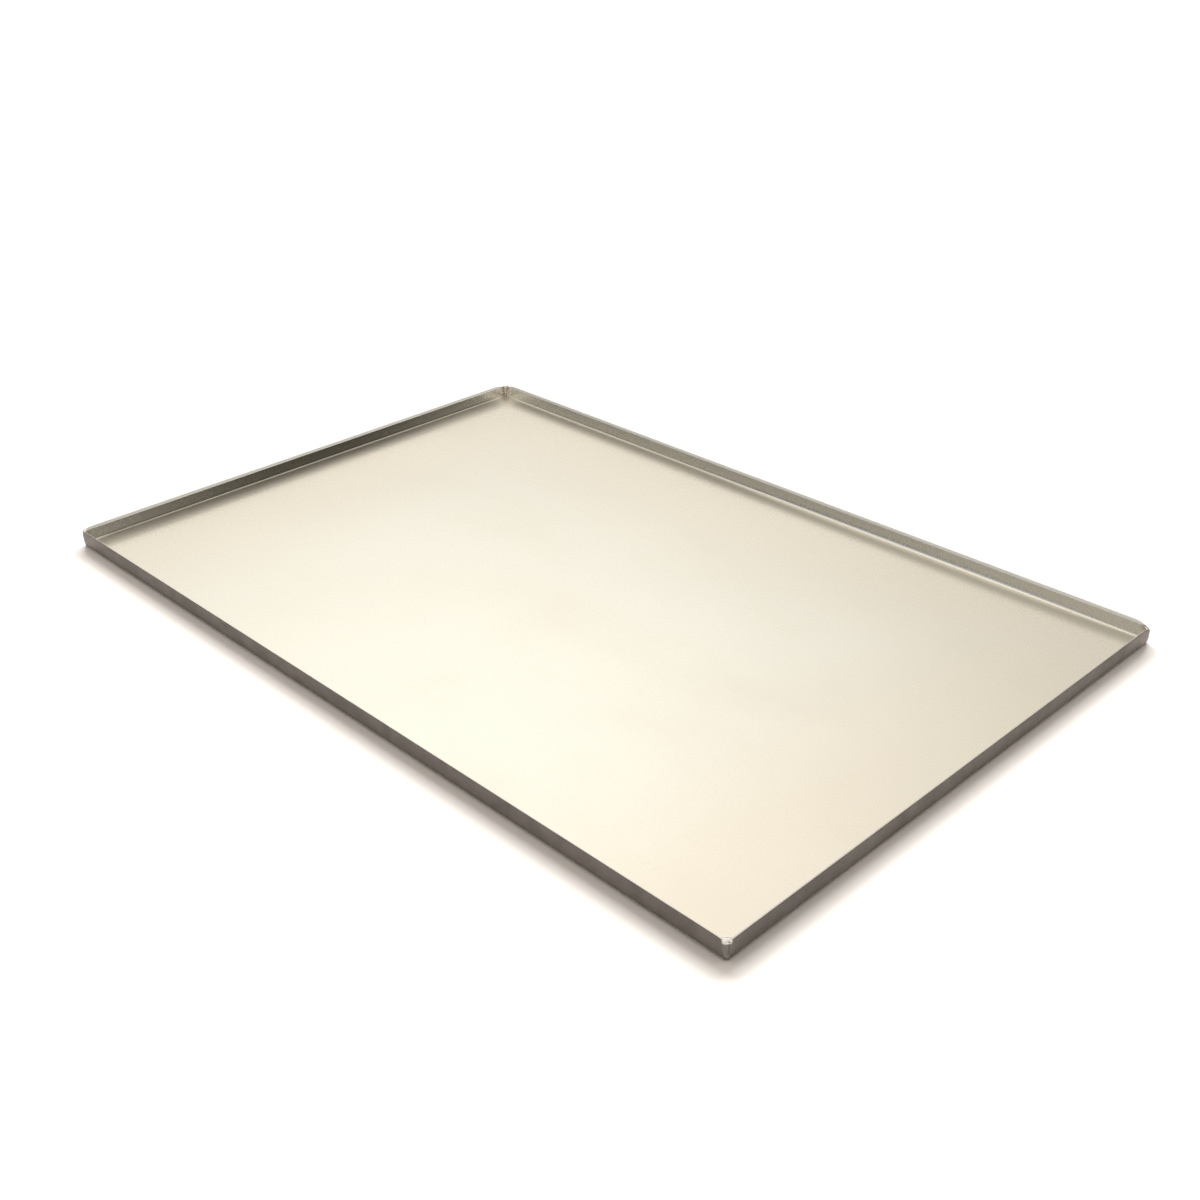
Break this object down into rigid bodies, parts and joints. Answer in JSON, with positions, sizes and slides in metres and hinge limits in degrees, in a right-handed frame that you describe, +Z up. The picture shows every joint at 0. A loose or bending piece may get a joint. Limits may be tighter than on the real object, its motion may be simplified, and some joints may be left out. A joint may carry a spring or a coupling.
{
  "type": "cookie sheet",
  "caption": "Shallow rectangular aluminium baking sheet with a flat floor, low upright walls on all sides, a plain rounded rim and rounded corners closed by weld beads.",
  "frame": {"origin": "middle of the underside, on the surface that the sheet stands on", "axes": "+X along the length, +Y along the width, +Z up out of the open top"},
  "size_m": [0.6, 0.4, 0.012],
  "materials": {
    "pan_aluminium": "satin rolled sheet with a fine grain, bake-tinted, lightly scuffed",
    "weld_aluminium": "rippled weld bead, dressed at the rim, with a light brown heat tint"
  },
  "bodies": {
    "root": {"folded_pan": "pan_aluminium", "corner_weld_front_left": "weld_aluminium", "corner_weld_front_right": "weld_aluminium", "corner_weld_back_right": "weld_aluminium", "corner_weld_back_left": "weld_aluminium"}
  },
  "joints": []
}
